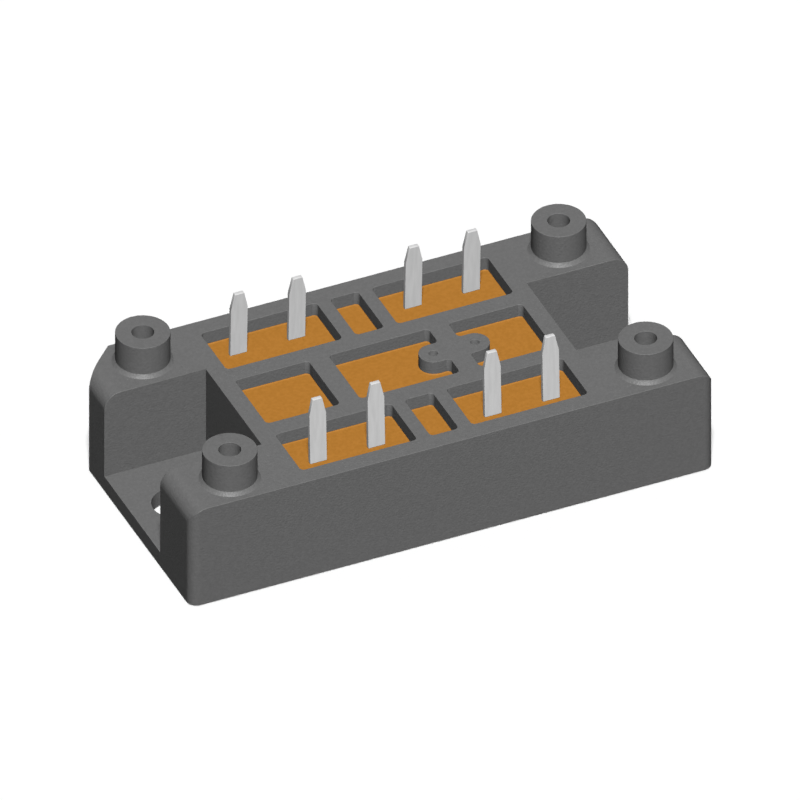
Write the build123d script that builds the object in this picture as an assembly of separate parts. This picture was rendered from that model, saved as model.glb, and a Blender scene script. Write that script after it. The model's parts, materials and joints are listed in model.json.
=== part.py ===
from build123d import *
from math import radians, tan
import os

# A low thyristor and diode module for a printed board. A moulded housing holds
# a ceramic substrate with two thyristors and two diodes, joined as a bridge.
# Gel and then epoxy are poured over them, and eight blade pins come out on top.
# Sizes are in millimetres. The origin is the middle of the heatsink face, with
# +X along the length, +Y towards the chamfered corner and +Z up to the board.

# Housing outline
length = 63.0
width = 31.6
body_height = 13.05
flange_thickness = 2.0
corner_radius = 1.2
corner_chamfer = 4.1
end_round = 2.0

# Screw bay and mounting hole at each end
bay_depth = 12.2
bay_width = 15.0
mount_hole = 5.5
mount_inset = 5.3

# Standoffs that carry the printed board
standoff_height = 3.95
standoff_diameter = 6.1
standoff_root = 0.4
standoff_inset_x = 6.5
standoff_inset_y = 4.05
screw_hole = 2.5
screw_hole_depth = 9.0

# Cores that lighten the four thick corner blocks from below
core_wall = 1.5
core_roof = 2.0
boss_wall = 1.7

# Walls round the cavity and the grid of ribs across its top
end_wall = 2.05
side_wall = 2.15
rib_depth = 3.0
window_corner = 0.5
middle_row_width = 8.6
long_rib = 2.2
centre_window = 12.0
cross_rib = 2.4
slot_width = 3.4
slot_rib = 1.6

# Pair of lugs with pilot holes on one cross rib
lug_radius = 1.65
lug_hole = 1.0
lug_hole_depth = 2.4
lug_spacing = 5.0
lug_fillet = 0.5

# Ceramic substrate, soldered parts and the adhesive round its rim
base_proud = 0.1
base_copper_thickness = 0.3
ceramic_thickness = 0.63
pad_thickness = 0.3
bead_thickness = 0.17
seat_ledge = 1.4
seat_clearance = 0.25
copper_margin = 0.8
solder_thickness = 0.1
chip_thickness = 0.4

# Copper pads on top of the ceramic
pad_wall_gap = 0.35
pad_gap = 0.8
front_pad_depth = 8.4
gate_pad_depth = 5.2
ac_tab_reach = 3.5

# Chips and the copper left bare beside them
thyristor_size = 6.5
thyristor_margin = 1.0
diode_size = 5.0
diode_margin = 0.6

# Copper clips from the tops of the chips to the pads in front of them
clip_thickness = 0.3
cathode_clip_width = 3.6
cathode_clip_shift = 1.0
anode_clip_width = 3.2
clip_foot = 2.4
clip_rise = 1.5
clip_slope = 0.8
clip_reach = 3.4
clip_solder_margin = 0.3

# Bond ribbon from the gate of each thyristor
ribbon_width = 0.5
ribbon_thickness = 0.2
ribbon_foot = 0.7
ribbon_margin = 0.2
ribbon_loop = 1.6

# Blade pins
pin_width = 2.0
pin_thickness = 0.5
pin_rib_gap = 3.7
pin_end_gap = 3.25
pin_wall_gap = 2.85
pin_lean = 2.0
pin_tip_height = 19.95
pin_tip_width = 1.1
pin_taper = 2.05
pin_foot = 1.9
pin_bend = 0.6

# Levels of the two fillings
gel_level = 5.5
epoxy_recess = 1.7

# Heights and half sizes that follow from the values above
half_length = length / 2
half_width = width / 2
top_plane = base_proud + body_height
flange_top = base_proud + flange_thickness
standoff_top = top_plane + standoff_height
rib_underside = top_plane - rib_depth
epoxy_level = top_plane - epoxy_recess
block_inner_x = half_length - bay_depth
cavity_x = block_inner_x - end_wall
cavity_y = half_width - side_wall
ceramic_bottom = base_copper_thickness
ceramic_top = ceramic_bottom + ceramic_thickness
ledge_level = ceramic_top + bead_thickness
pad_top = ceramic_top + pad_thickness
chip_bottom = pad_top + solder_thickness
chip_top = chip_bottom + chip_thickness
ceramic_x = cavity_x + seat_ledge - seat_clearance
ceramic_y = cavity_y + seat_ledge - seat_clearance
pad_x = cavity_x - pad_wall_gap
pad_y = cavity_y - pad_wall_gap
pin_row_y = cavity_y - pin_wall_gap
inner_pin_x = slot_width / 2 + slot_rib + pin_rib_gap
outer_pin_x = cavity_x - pin_end_gap
pad_split = (inner_pin_x + outer_pin_x) / 2
ac_pad_front = front_pad_depth + pad_gap - pad_y
ac_pad_back = pad_y - gate_pad_depth - pad_gap
chip_y = (ac_pad_front + ac_pad_back) / 2
thyristor_x = pad_x - thyristor_margin - thyristor_size / 2
diode_x = pad_gap / 2 + diode_margin + diode_size / 2
cathode_clip_x = thyristor_x + cathode_clip_shift
lug_x = (centre_window + cross_rib) / 2

SIDES = {"1": -1, "2": 1}


def slab(plan, bottom, top):
    """A plan drawn on XY, made solid between two heights."""
    return Pos(0, 0, bottom) * extrude(plan, amount=top - bottom)


def span(x0, x1, y0, y1):
    """A rectangle between two X and two Y values."""
    return Pos((x0 + x1) / 2, (y0 + y1) / 2) * Rectangle(abs(x1 - x0), abs(y1 - y0))


def at_each(places, plan):
    """Copies of a plan, one at each place."""
    return Sketch() + [place * plan for place in places]


def mirrored(shape, side):
    """The shape on the -X side, or its mirror image on the +X side."""
    return shape if side < 0 else mirror(shape, about=Plane.YZ)


def housing_plan():
    """Outer outline: one corner is cut off at 45 degrees, three are rounded."""
    corners = Polyline(
        (-half_length, -half_width),
        (half_length, -half_width),
        (half_length, half_width),
        (-half_length + corner_chamfer, half_width),
        (-half_length, half_width - corner_chamfer),
        close=True,
    )
    plan = make_face(corners)
    reach = half_length + half_width - corner_chamfer / 2
    square = [v for v in plan.vertices() if abs(v.X) + abs(v.Y) > reach]
    return fillet(square, corner_radius)


def side_profile():
    """Side view of the body, with the top edge of each end rounded."""
    middle = base_proud + body_height / 2
    profile = Pos(0, middle) * Rectangle(length, body_height)
    upper = profile.vertices().group_by(Axis.Y)[-1]
    return Plane.XZ * fillet(upper, end_round)


def cavity_plan():
    """Inside outline of the walls round the chips."""
    return RectangleRounded(2 * cavity_x, 2 * cavity_y, window_corner)


def window(x0, x1, y0, y1):
    """One opening of the grid, with small round corners."""
    middle = Pos((x0 + x1) / 2, (y0 + y1) / 2)
    return middle * RectangleRounded(x1 - x0, y1 - y0, window_corner)


def lug_plan():
    """Two lugs with round ends, one on each side of the +X cross rib."""
    return Pos(lug_x, 0) * SlotCenterToCenter(lug_spacing, 2 * lug_radius)


def window_plans():
    """The nine openings between the ribs."""
    row_y = middle_row_width / 2
    outer_y = row_y + long_rib
    slot_x = slot_width / 2
    outer_x = slot_x + slot_rib
    centre_x = centre_window / 2
    side_x = centre_x + cross_rib
    plans = []
    for y0, y1 in ((-cavity_y, -outer_y), (outer_y, cavity_y)):
        plans.append(window(-cavity_x, -outer_x, y0, y1))
        plans.append(window(-slot_x, slot_x, y0, y1))
        plans.append(window(outer_x, cavity_x, y0, y1))
    plans.append(window(-cavity_x, -side_x, -row_y, row_y))
    for x0, x1, rib_edge in ((-centre_x, centre_x, centre_x), (side_x, cavity_x, side_x)):
        opening = window(x0, x1, -row_y, row_y) - lug_plan()
        roots = [
            v
            for v in opening.vertices()
            if abs(v.X - rib_edge) < 0.01 and abs(abs(v.Y) - lug_radius) < 0.01
        ]
        plans.append(fillet(roots, lug_fillet))
    return plans


def standoff_places():
    """The four screw axes."""
    spacing_x = length - 2 * standoff_inset_x
    spacing_y = width - 2 * standoff_inset_y
    return GridLocations(spacing_x, spacing_y, 2, 2)


def make_standoff():
    """A round post with a conical root, turned from its profile."""
    radius = standoff_diameter / 2
    profile = Polyline(
        (0, top_plane),
        (radius + standoff_root, top_plane),
        (radius, top_plane + standoff_root),
        (radius, standoff_top),
        (0, standoff_top),
        close=True,
    )
    return revolve(Plane.XZ * make_face(profile), Axis.Z)


def corner_block_cores():
    """Pockets under the corner blocks, either side of each screw boss."""
    bay_plan = Rectangle(length, bay_width) + Rectangle(2 * block_inner_x, width)
    pockets = offset(housing_plan() - bay_plan, -core_wall, kind=Kind.INTERSECTION)
    bosses = at_each(standoff_places(), Circle(screw_hole / 2 + boss_wall))
    return slab(pockets - bosses, 0, top_plane - core_roof)


def make_housing():
    """The moulded housing, in one piece."""
    body = slab(housing_plan(), base_proud, top_plane)
    body &= extrude(side_profile(), amount=half_width, both=True)
    bay = span(block_inner_x, length, -bay_width / 2, bay_width / 2)
    bay += mirror(bay, about=Plane.YZ)
    body -= slab(bay, flange_top, standoff_top)
    standoff = make_standoff()
    body += [place * standoff for place in standoff_places()]
    screw_holes = at_each(standoff_places(), Circle(screw_hole / 2))
    body -= slab(screw_holes, standoff_top - screw_hole_depth, standoff_top)
    mount_places = GridLocations(length - 2 * mount_inset, 0, 2, 1)
    body -= slab(at_each(mount_places, Circle(mount_hole / 2)), 0, flange_top)
    seat = Rectangle(2 * (cavity_x + seat_ledge), 2 * (cavity_y + seat_ledge))
    body -= slab(seat, 0, ledge_level)
    body -= slab(cavity_plan(), 0, rib_underside)
    for plan in window_plans():
        body -= slab(plan, rib_underside, top_plane)
    pilots = Pos(lug_x, 0) * at_each(GridLocations(lug_spacing, 0, 2, 1), Circle(lug_hole / 2))
    body -= slab(pilots, top_plane - lug_hole_depth, top_plane)
    return body - corner_block_cores()


def make_seal_bead():
    """Adhesive between the rim of the ceramic and the ledge in the housing."""
    ring = Rectangle(2 * ceramic_x, 2 * ceramic_y) - cavity_plan()
    return slab(ring, ceramic_top, ledge_level)


def make_ceramic_plate():
    return slab(Rectangle(2 * ceramic_x, 2 * ceramic_y), ceramic_bottom, ceramic_top)


def make_base_copper():
    copper = Rectangle(2 * (ceramic_x - copper_margin), 2 * (ceramic_y - copper_margin))
    return slab(copper, 0, ceramic_bottom)


def pad(plan):
    """One copper pad on top of the ceramic."""
    return slab(plan, ceramic_top, pad_top)


def make_ac_pad():
    """Carries a thyristor and a diode, and has a tab for its pin."""
    field = span(-pad_x, -pad_gap / 2, ac_pad_front, ac_pad_back)
    tab = span(-pad_split + pad_gap / 2, ac_tab_reach - inner_pin_x, ac_pad_back, pad_y)
    return pad(field + tab)


def make_gate_pad():
    return pad(span(-pad_x, -pad_split - pad_gap / 2, ac_pad_back + pad_gap, pad_y))


def make_plus_pad():
    return pad(span(-pad_x, -pad_split - pad_gap / 2, -pad_y, ac_pad_front - pad_gap))


def make_minus_pad():
    edge = pad_split - pad_gap / 2
    return pad(span(-edge, edge, -pad_y, ac_pad_front - pad_gap))


def chip_layer(size, x, bottom, top):
    """A square layer of a chip's stack."""
    return slab(Pos(-x, chip_y) * Rectangle(size, size), bottom, top)


def clip_feet():
    """The Y middles of a clip's foot on the chip and of its foot on the pad."""
    return chip_y, ac_pad_front - pad_gap - clip_reach + clip_foot / 2


def make_clip(x, clip_width):
    """A bent strip from the solder on a chip, over its edge, to the solder on a pad."""
    chip_foot, pad_foot = clip_feet()
    high = chip_top + solder_thickness + clip_thickness / 2
    low = pad_top + solder_thickness + clip_thickness / 2
    strip = Polyline(
        (-x, chip_foot + clip_foot / 2, high),
        (-x, chip_foot - clip_foot / 2, high),
        (-x, chip_foot - clip_foot / 2 - clip_slope, high + clip_rise),
        (-x, pad_foot + clip_foot / 2 + clip_slope, high + clip_rise),
        (-x, pad_foot + clip_foot / 2, low),
        (-x, pad_foot - clip_foot / 2, low),
    )
    section = Plane(strip @ 0, x_dir=(1, 0, 0), z_dir=strip % 0)
    profile = section * Rectangle(clip_width, clip_thickness)
    return sweep(profile, path=strip, transition=Transition.RIGHT)


def make_clip_solder():
    """Thin layers of solder under both feet of every clip."""
    chip_foot, pad_foot = clip_feet()
    layers = []
    for x, clip_width in ((cathode_clip_x, cathode_clip_width), (diode_x, anode_clip_width)):
        for y, base in ((chip_foot, chip_top), (pad_foot, pad_top)):
            for side in SIDES.values():
                spread = clip_foot - 2 * clip_solder_margin
                plan = Pos(side * x, y) * Rectangle(clip_width, spread)
                layers.append(slab(plan, base, base + solder_thickness))
    return layers


def make_gate_ribbon():
    """A thin ribbon that loops from a foot on the thyristor's gate to a foot on the gate pad."""
    x = -thyristor_x
    chip_end = chip_y + thyristor_size / 2 - ribbon_margin - ribbon_foot
    pad_end = ac_pad_back + pad_gap + ribbon_margin + ribbon_foot
    high = chip_top + ribbon_thickness / 2
    low = pad_top + ribbon_thickness / 2
    strip = Polyline(
        (x, chip_end, high),
        (x, chip_end + ribbon_foot, high),
        (x, (chip_end + pad_end) / 2, chip_top + ribbon_loop),
        (x, pad_end - ribbon_foot, low),
        (x, pad_end, low),
    )
    section = Plane(strip @ 0, x_dir=(1, 0, 0), z_dir=strip % 0)
    profile = section * Rectangle(ribbon_width, ribbon_thickness)
    return sweep(profile, path=strip, transition=Transition.RIGHT)


def make_pin(x, row):
    """A blade pin: a foot on its pad, a bend, and a blade that leans to the middle."""
    lean = tan(radians(pin_lean))
    level = pad_top + solder_thickness + pin_thickness / 2
    heel = row * (pin_row_y + (epoxy_level - level) * lean)
    above_tip = pin_tip_height + pin_width
    crown = row * (pin_row_y - (above_tip - epoxy_level) * lean)
    strip = FilletPolyline(
        (x, heel - row * pin_foot, level),
        (x, heel, level),
        (x, crown, above_tip),
        radius=pin_bend,
    )
    section = Plane(strip @ 0, x_dir=(1, 0, 0), z_dir=strip % 0)
    blade = sweep(section * Rectangle(pin_width, pin_thickness), path=strip)
    shoulder = pin_tip_height - pin_taper
    half = pin_width / 2
    tip = pin_tip_width / 2
    outline = Polyline(
        (x - half, 0),
        (x + half, 0),
        (x + half, shoulder),
        (x + tip, pin_tip_height),
        (x - tip, pin_tip_height),
        (x - half, shoulder),
        close=True,
    )
    return blade & extrude(Plane.XZ * make_face(outline), amount=width, both=True)


def make_pin_solder():
    """A thin layer of solder under the foot of each pin."""
    lean = tan(radians(pin_lean))
    level = pad_top + solder_thickness + pin_thickness / 2
    heel = pin_row_y + (epoxy_level - level) * lean
    flat = pin_foot - pin_bend * tan(radians(45 + pin_lean / 2))
    layers = []
    for x in (-outer_pin_x, -inner_pin_x, inner_pin_x, outer_pin_x):
        for row in (-1, 1):
            middle = row * (heel - pin_foot + flat / 2)
            plan = Pos(x, middle) * Rectangle(pin_width, flat)
            layers.append(slab(plan, pad_top, pad_top + solder_thickness))
    return layers


def make_pieces():
    """Every piece but the fillings, by name."""
    pieces = {
        "housing": make_housing(),
        "seal_bead": make_seal_bead(),
        "ceramic_plate": make_ceramic_plate(),
        "base_copper": make_base_copper(),
        "minus_pad": make_minus_pad(),
        "clip_solder": make_clip_solder(),
        "pin_solder": make_pin_solder(),
    }
    for number, side in SIDES.items():
        parts = {
            "ac_pad": make_ac_pad(),
            "gate_pad": make_gate_pad(),
            "plus_pad": make_plus_pad(),
            "thyristor_solder": chip_layer(thyristor_size, thyristor_x, pad_top, chip_bottom),
            "diode_solder": chip_layer(diode_size, diode_x, pad_top, chip_bottom),
            "thyristor_chip": chip_layer(thyristor_size, thyristor_x, chip_bottom, chip_top),
            "diode_chip": chip_layer(diode_size, diode_x, chip_bottom, chip_top),
            "cathode_clip": make_clip(cathode_clip_x, cathode_clip_width),
            "anode_clip": make_clip(diode_x, anode_clip_width),
            "gate_ribbon": make_gate_ribbon(),
        }
        for name, shape in parts.items():
            pieces[f"{name}_{number}"] = mirrored(shape, side)
        for name, x, row in (
            ("gate_pin", outer_pin_x, 1),
            ("ac_pin", inner_pin_x, 1),
            ("plus_pin", outer_pin_x, -1),
            ("minus_pin", inner_pin_x, -1),
        ):
            pieces[f"{name}_{number}"] = make_pin(side * x, row)
    return pieces


def solids_of(shape):
    """The separate solids of a piece, which may be a list of like ones."""
    return shape if isinstance(shape, list) else [shape]


def make_silicone_gel(pieces):
    """Soft gel over the chips and clips, up to its own level."""
    gel = slab(cavity_plan(), ceramic_top, gel_level)
    for name, shape in pieces.items():
        if name not in ("housing", "seal_bead", "ceramic_plate", "base_copper"):
            for solid in solids_of(shape):
                gel -= solid
    return gel


def make_epoxy_cover(pieces):
    """Hard epoxy from the gel up to the floor that shows in the windows."""
    cover = slab(cavity_plan(), gel_level, rib_underside)
    for plan in window_plans():
        cover += slab(plan, rib_underside, epoxy_level)
    for name, shape in pieces.items():
        if "_pin_" in name:
            cover -= shape
    return cover


pieces = make_pieces()
fillings = {
    "silicone_gel": make_silicone_gel(pieces),
    "epoxy_cover": make_epoxy_cover(pieces),
}
pieces.update(fillings)

os.makedirs("parts", exist_ok=True)
for name, shape in pieces.items():
    solids = [s for piece in solids_of(shape) for s in piece.solids()]
    export_step(Compound(label=name, children=solids), f"parts/{name}.step")
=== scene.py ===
import json
from math import cos, radians, sin

import bmesh
import bpy
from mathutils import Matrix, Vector
from mathutils.geometry import intersect_point_line


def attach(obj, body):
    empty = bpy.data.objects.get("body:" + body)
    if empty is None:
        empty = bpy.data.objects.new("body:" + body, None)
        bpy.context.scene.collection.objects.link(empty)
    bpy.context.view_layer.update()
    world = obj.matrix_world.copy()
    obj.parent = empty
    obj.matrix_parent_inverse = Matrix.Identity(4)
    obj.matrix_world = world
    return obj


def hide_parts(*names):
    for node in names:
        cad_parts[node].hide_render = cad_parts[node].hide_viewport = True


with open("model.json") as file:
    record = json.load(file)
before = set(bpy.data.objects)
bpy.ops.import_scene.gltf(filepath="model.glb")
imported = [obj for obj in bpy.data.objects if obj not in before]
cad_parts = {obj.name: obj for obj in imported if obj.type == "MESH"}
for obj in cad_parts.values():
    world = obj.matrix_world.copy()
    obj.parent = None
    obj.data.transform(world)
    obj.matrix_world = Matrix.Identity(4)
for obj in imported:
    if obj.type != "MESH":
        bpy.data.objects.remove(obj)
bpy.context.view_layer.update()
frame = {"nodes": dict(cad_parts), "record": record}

# Looks of a low thyristor and diode module: a moulded housing with softened
# edges, cast epoxy that creeps up the walls, and tinned blade pins.
# Lengths are in metres, as in the frame.

MM = 0.001
BODY = "root"

# Photograph: a parallel view of this many pixels, from this angle
PHOTO_PIXELS = 800
PIXELS_PER_MM = 9.105
AZIMUTH = radians(-24)
ELEVATION = radians(37)
ORIGIN_PIXEL = (394.21, 459.20)
CAMERA_DISTANCE = 0.4
CLIP = (0.01, 10)

# Lamps: azimuth and elevation in degrees, strength, highlight, shadow
LAMPS = {
    "key": (-24, 62, 2.45, True, True),
    "key_fill": (-24, 62, 1.3, True, False),
    "front_fill": (-4, 2, 0.82, False, False),
    "floor_glow": (150, -35, 2.8, False, False),
}
LAMP_SOFTNESS = radians(5)
LAMP_DISTANCE = 0.4
AMBIENT = 0.03

# Stage
WHITE = (1.0, 1.0, 1.0, 1.0)
PALE = (0.93, 0.93, 0.93, 1.0)
FLOOR_SIZE = 3.0
FLOOR_GAP = 0.02 * MM
BACKDROP_TOP = 0.1
BACKDROP_BOTTOM = -0.6
BACKDROP_SIDES = 96

# Meshes taken over from the CAD
WELD = 0.001 * MM
FLAT = radians(0.5)

# Edges and surfaces. The meniscus is a row of distances from the wall and heights, in mm
HOUSING_EDGE = 0.05 * MM
PIN_EDGE = 0.03 * MM
SHARP = radians(28)
INNER_SHARE = 0.15
EDGE_SEGMENTS = 2
MENISCUS = ((0.0, 0.09), (0.04, 0.045), (0.1, 0.02), (0.18, 0.005), (0.28, 0.0))
DRIFT = (0.35, 0.65)


def new_material(name):
    """A material with an empty node tree, its tree and its principled shader."""
    material = bpy.data.materials.new(name)
    material.use_nodes = True
    tree = material.node_tree
    return material, tree, tree.nodes["Principled BSDF"]


def noise(tree, scale, detail=3.0, roughness=0.5, stretch=None):
    """Noise in object coordinates, at so many ripples to the millimetre."""
    place = tree.nodes.new("ShaderNodeTexCoord")
    texture = tree.nodes.new("ShaderNodeTexNoise")
    texture.inputs["Scale"].default_value = scale / MM
    texture.inputs["Detail"].default_value = detail
    texture.inputs["Roughness"].default_value = roughness
    source = place.outputs["Object"]
    if stretch:
        mapping = tree.nodes.new("ShaderNodeMapping")
        mapping.inputs["Scale"].default_value = stretch
        tree.links.new(source, mapping.inputs["Vector"])
        source = mapping.outputs["Vector"]
    tree.links.new(source, texture.inputs["Vector"])
    return texture.outputs["Fac"]


def ramp(tree, value, low, high, colours):
    """Maps a value between two limits to a blend of two colours."""
    node = tree.nodes.new("ShaderNodeValToRGB")
    for stop, position, colour in zip(node.color_ramp.elements, (low, high), colours):
        stop.position = position
        stop.color = (*colour, 1.0)
    tree.links.new(value, node.inputs["Fac"])
    return node.outputs["Color"]


def bump(tree, shader, layers):
    """Adds bump layers, each a height and a depth in metres, to a shader."""
    normal = None
    for height, depth in layers:
        node = tree.nodes.new("ShaderNodeBump")
        node.inputs["Distance"].default_value = depth
        tree.links.new(height, node.inputs["Height"])
        if normal:
            tree.links.new(normal, node.inputs["Normal"])
        normal = node.outputs["Normal"]
    tree.links.new(normal, shader.inputs["Normal"])


def surface(name, colours, roughness, scale, metallic=0.0, specular=0.5, grain=None, stretch=None):
    """A material whose colour and roughness drift a little, with a fine grain."""
    material, tree, shader = new_material(name)
    drift = noise(tree, scale, stretch=stretch)
    tree.links.new(ramp(tree, drift, *DRIFT, colours), shader.inputs["Base Color"])
    shader.inputs["Metallic"].default_value = metallic
    shader.inputs["Specular IOR Level"].default_value = specular
    rough = tree.nodes.new("ShaderNodeMapRange")
    rough.inputs["To Min"].default_value = roughness[0]
    rough.inputs["To Max"].default_value = roughness[1]
    tree.links.new(noise(tree, 2 * scale, stretch=stretch), rough.inputs["Value"])
    tree.links.new(rough.outputs["Result"], shader.inputs["Roughness"])
    if grain:
        grain_scale, depth = grain
        bump(tree, shader, [(noise(tree, grain_scale, detail=2.0, stretch=stretch), depth * MM)])
    return material


def housing_plastic():
    """Dark grey glass-filled plastic with a spark-eroded grain."""
    grey = ((0.143, 0.143, 0.143), (0.159, 0.159, 0.159))
    return surface("housing_plastic", grey, (0.46, 0.54), 3.0, specular=0.45, grain=(4.5, 0.045))


def cast_epoxy():
    """Orange brown filled epoxy."""
    orange = ((0.41, 0.172, 0.026), (0.455, 0.193, 0.032))
    return surface("cast_epoxy", orange, (0.42, 0.55), 2.5, specular=0.3, grain=(1.8, 0.012))


def tin_plate():
    """Matt tin, rolled along the blade."""
    tin = ((0.69, 0.69, 0.69), (0.75, 0.75, 0.75))
    along = (1.0, 1.0, 0.12)
    return surface("tin_plate", tin, (0.4, 0.52), 2.5, metallic=0.1, grain=(9.0, 0.004), stretch=along)


def inner_materials():
    """Materials of the pieces that the fillings hide and of the underside, by slot."""
    # Dark and light colour, roughness, scale of the drift, metallic
    looks = {
        "gel": ((0.7, 0.71, 0.69), (0.78, 0.79, 0.77), (0.1, 0.2), 0.3, 0.0),
        "adhesive": ((0.3, 0.3, 0.29), (0.36, 0.36, 0.35), (0.5, 0.7), 0.6, 0.0),
        "ceramic": ((0.8, 0.8, 0.77), (0.87, 0.87, 0.84), (0.35, 0.5), 1.0, 0.0),
        "copper": ((0.72, 0.35, 0.22), (0.75, 0.37, 0.235), (0.35, 0.5), 0.8, 0.3),
        "solder": ((0.52, 0.52, 0.5), (0.62, 0.62, 0.6), (0.3, 0.5), 1.5, 1.0),
        "silicon": ((0.26, 0.27, 0.3), (0.33, 0.34, 0.37), (0.2, 0.3), 0.5, 0.6),
        "aluminium": ((0.76, 0.76, 0.76), (0.84, 0.84, 0.84), (0.3, 0.4), 2.0, 1.0),
    }
    names = {"gel": "silicone_gel"}
    return {
        slot: surface(names.get(slot, slot), (dark, pale), rough, scale, metallic=metallic)
        for slot, (dark, pale, rough, scale, metallic) in looks.items()
    }


def take_shape(node, name):
    """A clean copy of a CAD node's mesh, with its flat faces joined up."""
    mesh = frame["nodes"][node].data.copy()
    mesh.materials.clear()
    mesh.name = name
    piece = bpy.data.objects.new(name, mesh)
    bpy.context.scene.collection.objects.link(piece)
    shape = bmesh.new()
    shape.from_mesh(mesh)
    bmesh.ops.remove_doubles(shape, verts=shape.verts, dist=WELD)
    bmesh.ops.dissolve_limit(
        shape, angle_limit=FLAT, verts=shape.verts, edges=shape.edges
    )
    return piece, shape


def put_shape(piece, shape):
    """Writes the edited mesh back to its piece, with smooth shading."""
    for face in shape.faces:
        face.smooth = True
    shape.to_mesh(piece.data)
    shape.free()


def mark_edges(shape):
    """Marks the edges to be rounded, in full outside and much less in inner corners."""
    rounding = shape.edges.layers.float.new("bevel_weight_edge")
    for edge in shape.edges:
        if edge.is_manifold and edge.calc_face_angle() > SHARP:
            edge[rounding] = 1.0 if edge.is_convex else INNER_SHARE


def keep_flats_flat(piece):
    """Shades each vertex by its largest faces, so that rounds don't tint the flats."""
    normals = piece.modifiers.new("flat faces", "WEIGHTED_NORMAL")
    normals.mode = "FACE_AREA"
    normals.weight = 100


def soften_edges(piece, width):
    """Rounds the marked edges."""
    bevel = piece.modifiers.new("soft edges", "BEVEL")
    bevel.width = width
    bevel.segments = EDGE_SEGMENTS
    bevel.limit_method = "WEIGHT"
    bevel.use_clamp_overlap = False
    keep_flats_flat(piece)


def finish_piece(piece, material, node):
    """Gives a piece its material and its body, and hides the CAD node it stands for."""
    piece.data.materials.append(material)
    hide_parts(node)
    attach(piece, BODY)
    return piece


def make_housing(material):
    piece, shape = take_shape("housing", "moulded_housing")
    mark_edges(shape)
    put_shape(piece, shape)
    soften_edges(piece, HOUSING_EDGE)
    return finish_piece(piece, material, "housing")


def distance(point, start, end):
    """How far a point is from a straight edge."""
    nearest, share = intersect_point_line(point, start, end)
    if share < 0:
        nearest = start
    if share > 1:
        nearest = end
    return (point - nearest).length


def rim_height(away):
    """How far the epoxy has crept up, at a distance from the wall."""
    for (inner, high), (outer, low) in zip(MENISCUS, MENISCUS[1:]):
        if away < outer * MM:
            return (high + (low - high) * (away / MM - inner) / (outer - inner)) * MM
    return 0.0


def make_epoxy(material):
    """The epoxy, with a concave rim that creeps up the walls and the pins."""
    piece, shape = take_shape("epoxy_cover", "cast_epoxy")
    level = max(v.co.z for v in shape.verts) - WELD
    tops = [f for f in shape.faces if f.calc_center_median().z > level]
    walls = [
        [v.co.copy() for v in e.verts]
        for e in shape.edges
        if sum(f in tops for f in e.link_faces) == 1
    ]
    for (inner, _), (outer, _) in zip(MENISCUS, MENISCUS[1:]):
        bmesh.ops.inset_region(
            shape, faces=tops, thickness=(outer - inner) * MM, use_even_offset=True
        )
    for vert in shape.verts:
        if vert.co.z > level:
            vert.co.z += rim_height(min(distance(vert.co, *wall) for wall in walls))
    put_shape(piece, shape)
    keep_flats_flat(piece)
    return finish_piece(piece, material, "epoxy_cover")


def make_pin(node, material):
    piece, shape = take_shape(node, "blade_" + node)
    mark_edges(shape)
    put_shape(piece, shape)
    soften_edges(piece, PIN_EDGE)
    return finish_piece(piece, material, node)


def dress_inner_nodes(materials):
    """Gives the CAD nodes that stay their materials, by the record's slots."""
    for part in frame["record"]["subparts"]:
        if part["material_slot"] in materials:
            node = frame["nodes"][part["node"]]
            node.data.materials.clear()
            node.data.materials.append(materials[part["material_slot"]])


def make_floor():
    """A plain pale floor, which can be looked through from below."""
    bpy.ops.mesh.primitive_plane_add(size=FLOOR_SIZE, location=(0, 0, -FLOOR_GAP))
    floor = bpy.context.object
    floor.name = "floor"
    material, tree, shader = new_material("pale_floor")
    shader.inputs["Base Color"].default_value = PALE
    shader.inputs["Roughness"].default_value = 1.0
    shader.inputs["Specular IOR Level"].default_value = 0.0
    facing = tree.nodes.new("ShaderNodeNewGeometry")
    clear = tree.nodes.new("ShaderNodeBsdfTransparent")
    sides = tree.nodes.new("ShaderNodeMixShader")
    tree.links.new(facing.outputs["Backfacing"], sides.inputs["Fac"])
    tree.links.new(shader.outputs["BSDF"], sides.inputs[1])
    tree.links.new(clear.outputs["BSDF"], sides.inputs[2])
    tree.links.new(sides.outputs["Shader"], tree.nodes["Material Output"].inputs["Surface"])
    floor.data.materials.append(material)


def seen_rays(tree):
    """The light path node, and 1 for rays from the camera, in gloss or through glass."""
    path = tree.nodes.new("ShaderNodeLightPath")
    seen = path.outputs["Is Camera Ray"]
    for ray in ("Is Glossy Ray", "Is Transmission Ray"):
        either = tree.nodes.new("ShaderNodeMath")
        either.operation = "MAXIMUM"
        tree.links.new(seen, either.inputs[0])
        tree.links.new(path.outputs[ray], either.inputs[1])
        seen = either.outputs["Value"]
    return path, seen


def make_backdrop():
    """A white ring round the floor for low views, seen directly and in gloss, that sheds no light."""
    height = BACKDROP_TOP - BACKDROP_BOTTOM
    bpy.ops.mesh.primitive_cylinder_add(
        vertices=BACKDROP_SIDES,
        radius=FLOOR_SIZE / 2,
        depth=height,
        end_fill_type="NOTHING",
        location=(0, 0, BACKDROP_BOTTOM + height / 2),
    )
    ring = bpy.context.object
    ring.name = "backdrop"
    material = bpy.data.materials.new("white_backdrop")
    material.use_nodes = True
    tree = material.node_tree
    tree.nodes.clear()
    path, seen = seen_rays(tree)
    glow = tree.nodes.new("ShaderNodeEmission")
    tree.links.new(seen, glow.inputs["Strength"])
    output = tree.nodes.new("ShaderNodeOutputMaterial")
    tree.links.new(glow.outputs["Emission"], output.inputs["Surface"])
    ring.data.materials.append(material)


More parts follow.
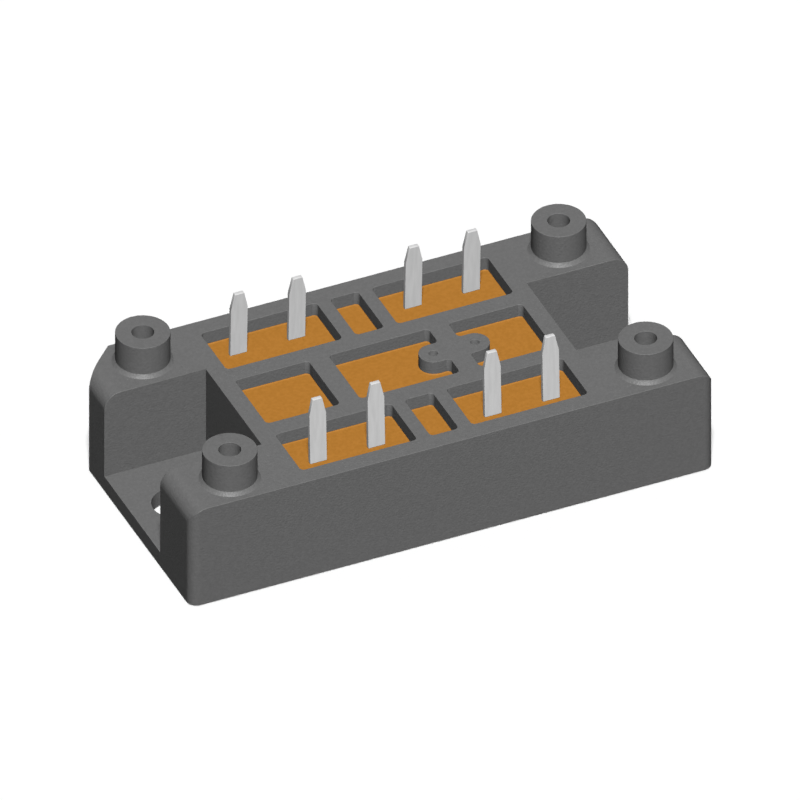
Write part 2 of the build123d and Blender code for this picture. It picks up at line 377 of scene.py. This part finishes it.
def make_world():
    """Dim even light all round, and white for the camera and for gloss seen through the floor."""
    world = bpy.data.worlds.new("studio")
    bpy.context.scene.world = world
    world.use_nodes = True
    tree = world.node_tree
    background = tree.nodes["Background"]
    background.inputs["Color"].default_value = WHITE
    path, seen = seen_rays(tree)
    through = tree.nodes.new("ShaderNodeMath")
    through.operation = "MULTIPLY"
    through.use_clamp = True
    tree.links.new(seen, through.inputs[0])
    tree.links.new(path.outputs["Transparent Depth"], through.inputs[1])
    white = tree.nodes.new("ShaderNodeMath")
    white.operation = "MAXIMUM"
    tree.links.new(path.outputs["Is Camera Ray"], white.inputs[0])
    tree.links.new(through.outputs["Value"], white.inputs[1])
    strength = tree.nodes.new("ShaderNodeMapRange")
    strength.inputs["To Min"].default_value = AMBIENT
    strength.inputs["To Max"].default_value = 1.0
    tree.links.new(white.outputs["Value"], strength.inputs["Value"])
    tree.links.new(strength.outputs["Result"], background.inputs["Strength"])


def direction(azimuth, elevation):
    """Unit vector from the object towards a place round it."""
    level = cos(elevation)
    return Vector((sin(azimuth) * level, -cos(azimuth) * level, sin(elevation)))


def make_lamp(name, azimuth, elevation, strength, highlight, shadow):
    """A large soft lamp, far off in one direction."""
    lamp = bpy.data.lights.new(name, "SUN")
    lamp.energy = strength
    lamp.angle = LAMP_SOFTNESS
    light = bpy.data.objects.new(name, lamp)
    bpy.context.scene.collection.objects.link(light)
    towards = direction(radians(azimuth), radians(elevation))
    light.rotation_mode = "QUATERNION"
    light.rotation_quaternion = towards.to_track_quat("Z", "Y")
    light.location = towards * LAMP_DISTANCE
    light.visible_glossy = highlight
    lamp.use_shadow = shadow


def make_camera():
    """Parallel camera with the photograph's angle, scale and centre."""
    data = bpy.data.cameras.new("camera")
    data.type = "ORTHO"
    data.ortho_scale = PHOTO_PIXELS / PIXELS_PER_MM * MM
    camera = bpy.data.objects.new("camera", data)
    bpy.context.scene.collection.objects.link(camera)
    back = direction(AZIMUTH, ELEVATION)
    right = direction(AZIMUTH + radians(90), 0)
    up = back.cross(right)
    middle = PHOTO_PIXELS / 2
    offset_right = (middle - ORIGIN_PIXEL[0]) / PIXELS_PER_MM * MM
    offset_up = (ORIGIN_PIXEL[1] - middle) / PIXELS_PER_MM * MM
    camera.location = right * offset_right + up * offset_up + back * CAMERA_DISTANCE
    camera.rotation_mode = "QUATERNION"
    camera.rotation_quaternion = back.to_track_quat("Z", "Y")
    data.clip_start, data.clip_end = CLIP
    bpy.context.scene.camera = camera


make_camera()
make_world()
for lamp_name, lamp_values in LAMPS.items():
    make_lamp(lamp_name, *lamp_values)
make_floor()
make_backdrop()

make_housing(housing_plastic())
make_epoxy(cast_epoxy())
tin = tin_plate()
for name in sorted(frame["nodes"]):
    if "_pin_" in name:
        make_pin(name, tin)
dress_inner_nodes(inner_materials())

bpy.context.scene.view_settings.view_transform = "Standard"
bpy.context.scene.cycles.max_bounces = 0
